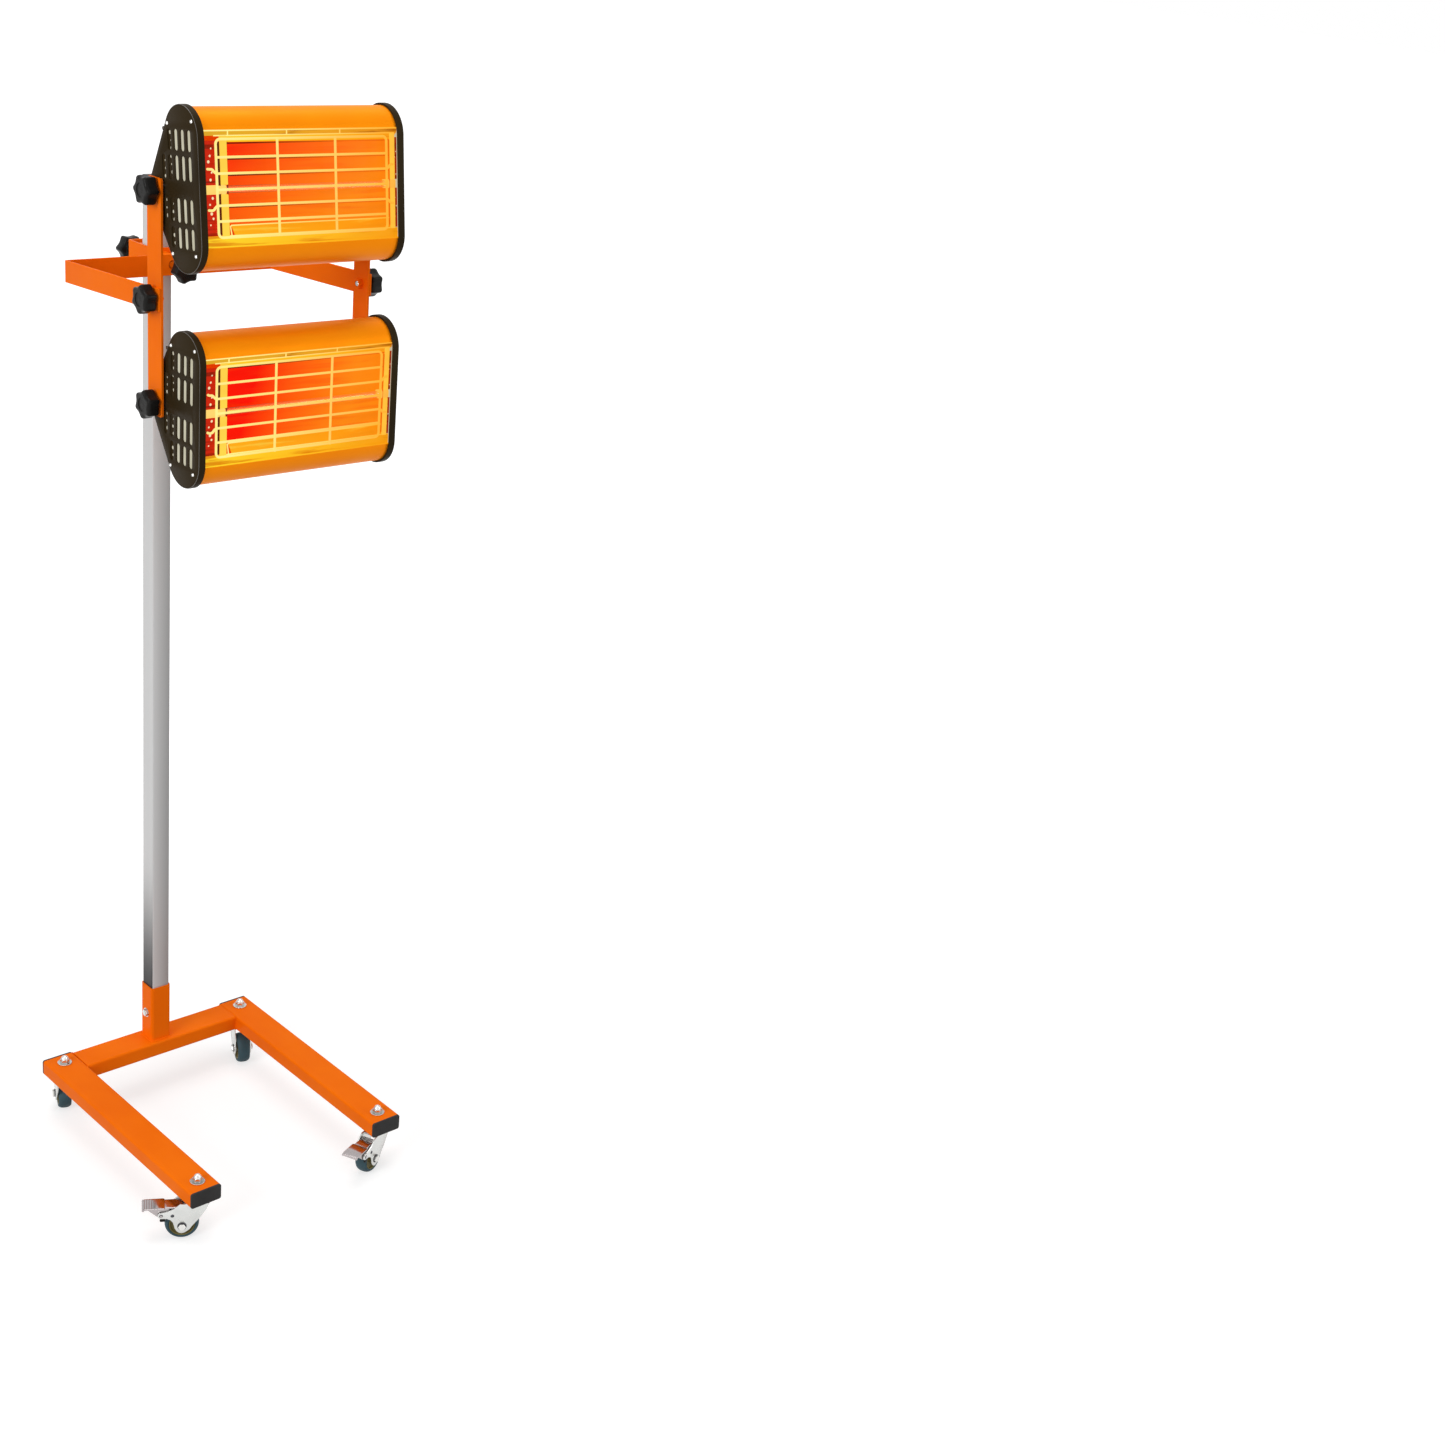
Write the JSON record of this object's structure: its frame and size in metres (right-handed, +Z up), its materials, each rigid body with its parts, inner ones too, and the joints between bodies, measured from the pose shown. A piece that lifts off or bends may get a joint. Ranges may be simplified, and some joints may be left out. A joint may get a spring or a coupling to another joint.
{
  "type": "infrared paint curing lamp",
  "caption": "Rolling stand with a square column, a sliding carriage and a yoke that holds a tilting frame of stacked quartz infrared heaters for drying paint and filler.",
  "frame": {"origin": "centre of the bounding box on the floor, at rest", "axes": "+Z up along the column; the heaters and the legs point to -Y; +X is to the right seen from the front of the lamp looking along +Y"},
  "size_m": [0.4234, 0.5224, 1.6302],
  "materials": {
    "orange_paint": "smooth orange powder coat",
    "silver_paint": "satin silver coat on the square steel column",
    "black_plastic": "moulded black plastic",
    "black_cover": "satin black coat on slotted end covers",
    "bright_zinc": "bright zinc plate",
    "tyre_rubber": "blue-grey rubber tread",
    "olive_core": "olive moulded wheel core",
    "reflector": "polished sheet lit by the tube",
    "guard_wire": "bright wire lit by the tube",
    "quartz": "glowing ruby quartz",
    "ceramic": "unglazed cream ceramic"
  },
  "bodies": {
    "base": {"leg_left": "orange_paint", "leg_right": "orange_paint", "cross_tube": "orange_paint", "column_socket": "orange_paint", "column": "silver_paint", "column_cap": "black_plastic", "leg_plug_front_left": "black_plastic", "leg_plug_front_right": "black_plastic", "leg_plug_rear_left": "black_plastic", "leg_plug_rear_right": "black_plastic", "caster_stem_front_left": "bright_zinc", "caster_stem_front_right": "bright_zinc", "caster_stem_rear_left": "bright_zinc", "caster_stem_rear_right": "bright_zinc"},
    "carriage": {"carriage": "orange_paint"},
    "clamp_knob": {"clamp_knob": "black_plastic"},
    "yoke": {"yoke": "orange_paint"},
    "roll_knob": {"roll_knob": "black_plastic"},
    "lamp_frame": {"upright_bar_left": "orange_paint", "upright_bar_right": "orange_paint"},
    "frame_tilt_knob_left": {"frame_tilt_knob_left": "black_plastic"},
    "frame_tilt_knob_right": {"frame_tilt_knob_right": "black_plastic"},
    "upper_head": {"upper_shell": "orange_paint", "upper_cover_left": "black_cover", "upper_cover_right": "black_cover", "upper_reflector": "reflector", "upper_guard": "guard_wire", "upper_quartz_tube": "quartz", "upper_tube_holder_left": "ceramic", "upper_tube_holder_right": "ceramic", "upper_cord_gland": "black_plastic"},
    "upper_head_knob_left": {"upper_head_knob_left": "black_plastic"},
    "upper_head_knob_right": {"upper_head_knob_right": "black_plastic"},
    "upper_rocker_switch": {"upper_rocker_switch": "black_plastic"},
    "lower_head": {"lower_shell": "orange_paint", "lower_cover_left": "black_cover", "lower_cover_right": "black_cover", "lower_reflector": "reflector", "lower_guard": "guard_wire", "lower_quartz_tube": "quartz", "lower_tube_holder_left": "ceramic", "lower_tube_holder_right": "ceramic", "lower_cord_gland": "black_plastic"},
    "lower_head_knob_left": {"lower_head_knob_left": "black_plastic"},
    "lower_head_knob_right": {"lower_head_knob_right": "black_plastic"},
    "lower_rocker_switch": {"lower_rocker_switch": "black_plastic"},
    "caster_front_left": {"caster_fork_front_left": "bright_zinc"},
    "wheel_front_left": {"tyre_front_left": "tyre_rubber", "wheel_core_front_left": "olive_core"},
    "brake_pedal_front_left": {"brake_pedal_front_left": "bright_zinc"},
    "caster_front_right": {"caster_fork_front_right": "bright_zinc"},
    "wheel_front_right": {"tyre_front_right": "tyre_rubber", "wheel_core_front_right": "olive_core"},
    "brake_pedal_front_right": {"brake_pedal_front_right": "bright_zinc"},
    "caster_rear_left": {"caster_fork_rear_left": "bright_zinc"},
    "wheel_rear_left": {"tyre_rear_left": "tyre_rubber", "wheel_core_rear_left": "olive_core"},
    "caster_rear_right": {"caster_fork_rear_right": "bright_zinc"},
    "wheel_rear_right": {"tyre_rear_right": "tyre_rubber", "wheel_core_rear_right": "olive_core"}
  },
  "joints": [
    {"name": "height_slide", "type": "slide", "parent": "base", "child": "carriage", "axis": [0, 0, 1], "range_m": [-0.9, 0.07]},
    {"name": "clamp_knob_turn", "type": "hinge", "parent": "carriage", "child": "clamp_knob", "pos_m": [0.02568, 0.23587, 1.367], "axis": [0, 1, 0], "range_deg": [0, 360]},
    {"name": "yoke_roll", "type": "hinge", "parent": "carriage", "child": "yoke", "pos_m": [0.02568, 0.17787, 1.367], "axis": [0, 1, 0], "range_deg": [-90, 90]},
    {"name": "roll_knob_turn", "type": "hinge", "parent": "yoke", "child": "roll_knob", "pos_m": [0.02568, 0.13457, 1.367], "axis": [0, -1, 0], "range_deg": [0, 360]},
    {"name": "frame_tilt", "type": "hinge", "parent": "yoke", "child": "lamp_frame", "pos_m": [0.02568, -0.09313, 1.379], "axis": [1, 0, 0], "range_deg": [-35, 35]},
    {"name": "frame_tilt_knob_left_turn", "type": "hinge", "parent": "yoke", "child": "frame_tilt_knob_left", "pos_m": [-0.13912, -0.09313, 1.379], "axis": [-1, 0, 0], "range_deg": [0, 360]},
    {"name": "frame_tilt_knob_right_turn", "type": "hinge", "parent": "yoke", "child": "frame_tilt_knob_right", "pos_m": [0.19048, -0.09313, 1.379], "axis": [1, 0, 0], "range_deg": [0, 360]},
    {"name": "upper_head_tilt", "type": "hinge", "parent": "lamp_frame", "child": "upper_head", "pos_m": [0.02568, -0.09144, 1.51699], "axis": [1, 0, 0], "range_deg": [-60, 60]},
    {"name": "upper_head_knob_left_turn", "type": "hinge", "parent": "lamp_frame", "child": "upper_head_knob_left", "pos_m": [-0.13582, -0.09144, 1.51699], "axis": [-1, 0, 0], "range_deg": [0, 360]},
    {"name": "upper_head_knob_right_turn", "type": "hinge", "parent": "lamp_frame", "child": "upper_head_knob_right", "pos_m": [0.18718, -0.09144, 1.51699], "axis": [1, 0, 0], "range_deg": [0, 360]},
    {"name": "upper_rocker_switch_rock", "type": "hinge", "parent": "upper_head", "child": "upper_rocker_switch", "pos_m": [0.11568, -0.09418, 1.56998], "axis": [1, 0, 0], "range_deg": [-12, 0]},
    {"name": "lower_head_tilt", "type": "hinge", "parent": "lamp_frame", "child": "lower_head", "pos_m": [0.02568, -0.09482, 1.24101], "axis": [1, 0, 0], "range_deg": [-60, 60]},
    {"name": "lower_head_knob_left_turn", "type": "hinge", "parent": "lamp_frame", "child": "lower_head_knob_left", "pos_m": [-0.13582, -0.09482, 1.24101], "axis": [-1, 0, 0], "range_deg": [0, 360]},
    {"name": "lower_head_knob_right_turn", "type": "hinge", "parent": "lamp_frame", "child": "lower_head_knob_right", "pos_m": [0.18718, -0.09482, 1.24101], "axis": [1, 0, 0], "range_deg": [0, 360]},
    {"name": "lower_rocker_switch_rock", "type": "hinge", "parent": "lower_head", "child": "lower_rocker_switch", "pos_m": [0.11568, -0.10267, 1.29348], "axis": [1, 0, 0], "range_deg": [-12, 0]},
    {"name": "caster_swivel_front_left", "type": "hinge", "parent": "base", "child": "caster_front_left", "pos_m": [-0.13532, -0.21713, 0], "axis": [0, 0, 1], "continuous": true},
    {"name": "wheel_roll_front_left", "type": "hinge", "parent": "caster_front_left", "child": "wheel_front_left", "pos_m": [-0.15438, -0.20613, 0.025], "axis": [-0.5, -0.866, 0], "continuous": true},
    {"name": "brake_pedal_front_left_press", "type": "hinge", "parent": "caster_front_left", "child": "brake_pedal_front_left", "pos_m": [-0.18036, -0.19113, 0.0447], "axis": [-0.5, -0.866, 0], "range_deg": [0, 7]},
    {"name": "caster_swivel_front_right", "type": "hinge", "parent": "base", "child": "caster_front_right", "pos_m": [0.18668, -0.21713, 0], "axis": [0, 0, 1], "continuous": true},
    {"name": "wheel_roll_front_right", "type": "hinge", "parent": "caster_front_right", "child": "wheel_front_right", "pos_m": [0.16643, -0.22573, 0.025], "axis": [0.3907, -0.9205, 0], "continuous": true},
    {"name": "brake_pedal_front_right_press", "type": "hinge", "parent": "caster_front_right", "child": "brake_pedal_front_right", "pos_m": [0.13881, -0.23745, 0.0447], "axis": [0.3907, -0.9205, 0], "range_deg": [0, 7]},
    {"name": "caster_swivel_rear_left", "type": "hinge", "parent": "base", "child": "caster_rear_left", "pos_m": [-0.13532, 0.18087, 0], "axis": [0, 0, 1], "continuous": true},
    {"name": "wheel_roll_rear_left", "type": "hinge", "parent": "caster_rear_left", "child": "wheel_rear_left", "pos_m": [-0.12708, 0.20127, 0.025], "axis": [-0.9272, 0.3746, 0], "continuous": true},
    {"name": "caster_swivel_rear_right", "type": "hinge", "parent": "base", "child": "caster_rear_right", "pos_m": [0.18668, 0.18087, 0], "axis": [0, 0, 1], "continuous": true},
    {"name": "wheel_roll_rear_right", "type": "hinge", "parent": "caster_rear_right", "child": "wheel_rear_right", "pos_m": [0.17879, 0.16033, 0.025], "axis": [0.9336, -0.3584, 0], "continuous": true}
  ]
}
